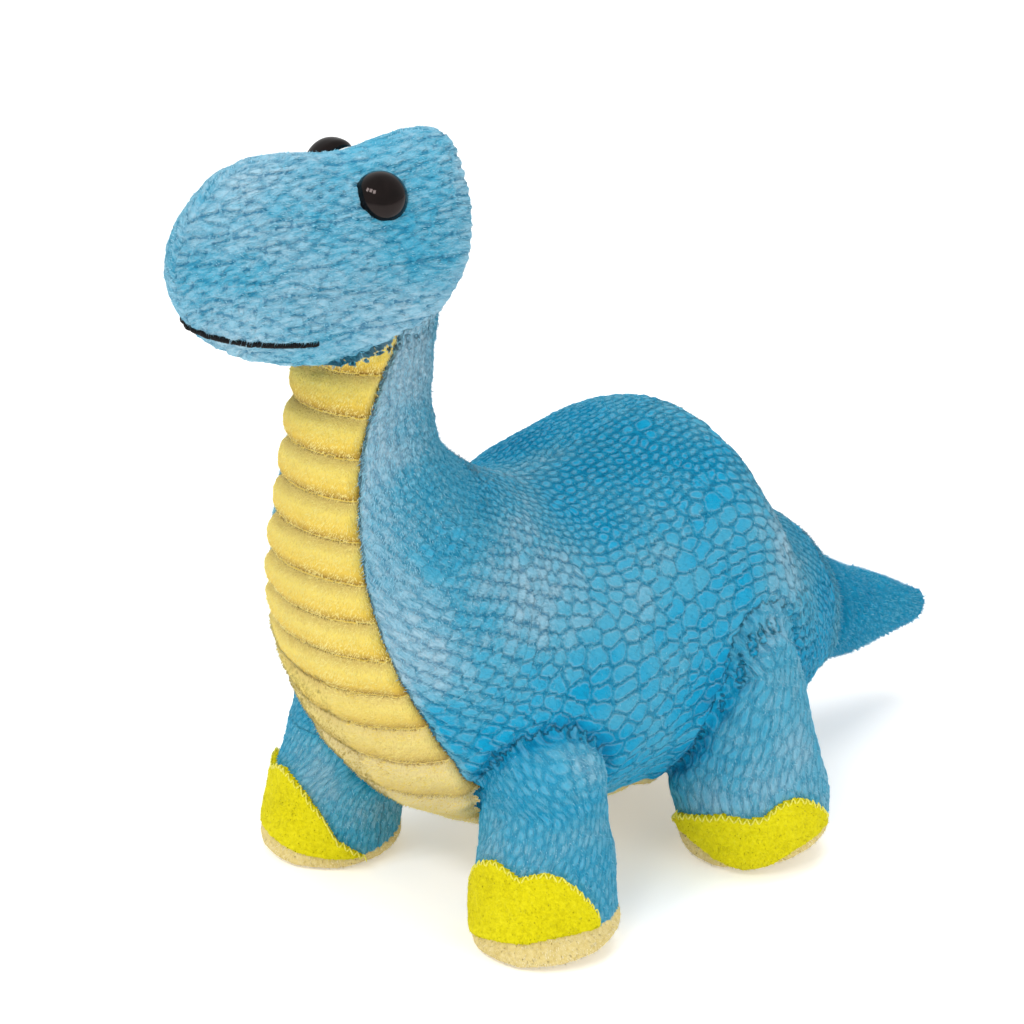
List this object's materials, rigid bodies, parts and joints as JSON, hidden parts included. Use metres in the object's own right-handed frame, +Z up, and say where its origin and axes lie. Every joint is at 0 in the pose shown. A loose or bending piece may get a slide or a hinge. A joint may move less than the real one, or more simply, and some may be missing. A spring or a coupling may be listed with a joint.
{
  "type": "stuffed dinosaur",
  "caption": "Soft plush long-necked dinosaur standing on padded legs, with a ribbed belly gusset, toe patches, dome eyes and a short tail; neck, head, tail and legs flex.",
  "frame": {"origin": "centre of the bounding box on the ground under the feet", "axes": "+Z up, the toy faces -Y, its left side is +X"},
  "size_m": [0.1234, 0.2542, 0.2019],
  "materials": {
    "plush_blue": "short plush embossed with a scale pattern",
    "plush_yellow": "ribbed plush",
    "plush_cream": "short plush",
    "toe_lemon": "felt-like plush",
    "thread_yellow": "sewing thread",
    "thread_black": "embroidery thread",
    "eye_black": "moulded, glossy",
    "washer_white": "moulded",
    "stuffing": "loose polyester fibre"
  },
  "bodies": {
    "torso": {"body_panel_left": "plush_blue", "body_panel_right": "plush_blue", "belly_panel": "plush_yellow", "body_stuffing": "stuffing"},
    "neck": {"neck_panel_left": "plush_blue", "neck_panel_right": "plush_blue", "throat_panel": "plush_yellow", "neck_stuffing": "stuffing"},
    "head": {"head_panel_left": "plush_blue", "head_panel_right": "plush_blue", "chin_panel": "plush_blue", "head_stuffing": "stuffing", "mouth_stitch": "thread_black", "eye_left": "eye_black", "eye_right": "eye_black", "eye_washer_left": "washer_white", "eye_washer_right": "washer_white"},
    "tail": {"tail_panel_left": "plush_blue", "tail_panel_right": "plush_blue", "tail_stuffing": "stuffing"},
    "front_left_leg": {"front_left_cover": "plush_blue", "front_left_sole": "plush_cream", "front_left_toe_patch": "toe_lemon", "front_left_toe_stitch": "thread_yellow", "front_left_stuffing": "stuffing"},
    "front_right_leg": {"front_right_cover": "plush_blue", "front_right_sole": "plush_cream", "front_right_toe_patch": "toe_lemon", "front_right_toe_stitch": "thread_yellow", "front_right_stuffing": "stuffing"},
    "rear_left_leg": {"rear_left_cover": "plush_blue", "rear_left_sole": "plush_cream", "rear_left_toe_patch": "toe_lemon", "rear_left_toe_stitch": "thread_yellow", "rear_left_stuffing": "stuffing"},
    "rear_right_leg": {"rear_right_cover": "plush_blue", "rear_right_sole": "plush_cream", "rear_right_toe_patch": "toe_lemon", "rear_right_toe_stitch": "thread_yellow", "rear_right_stuffing": "stuffing"}
  },
  "joints": [
    {"name": "neck_bend", "type": "hinge", "parent": "torso", "child": "neck", "pos_m": [0, -0.07575, 0.117], "axis": [1, 0, 0], "range_deg": [-10, 10], "stiffness_Nm_per_rad": 2},
    {"name": "head_turn", "type": "hinge", "parent": "neck", "child": "head", "pos_m": [0, -0.076, 0.141], "axis": [0, 0, 1], "range_deg": [-18, 42], "stiffness_Nm_per_rad": 0.5},
    {"name": "tail_swing", "type": "hinge", "parent": "torso", "child": "tail", "pos_m": [0, 0.076, 0.0441], "axis": [0, 0, 1], "range_deg": [-25, 25], "stiffness_Nm_per_rad": 0.2},
    {"name": "front_left_leg_swing", "type": "hinge", "parent": "torso", "child": "front_left_leg", "pos_m": [0.038, -0.053, 0.04], "axis": [1, 0, 0], "range_deg": [-12, 12], "stiffness_Nm_per_rad": 0.5},
    {"name": "front_right_leg_swing", "type": "hinge", "parent": "torso", "child": "front_right_leg", "pos_m": [-0.036, -0.053, 0.04], "axis": [1, 0, 0], "range_deg": [-12, 12], "stiffness_Nm_per_rad": 0.5},
    {"name": "rear_left_leg_swing", "type": "hinge", "parent": "torso", "child": "rear_left_leg", "pos_m": [0.038, 0.017, 0.056], "axis": [1, 0, 0], "range_deg": [-12, 12], "stiffness_Nm_per_rad": 0.5},
    {"name": "rear_right_leg_swing", "type": "hinge", "parent": "torso", "child": "rear_right_leg", "pos_m": [-0.038, 0.017, 0.056], "axis": [1, 0, 0], "range_deg": [-12, 12], "stiffness_Nm_per_rad": 0.5}
  ]
}
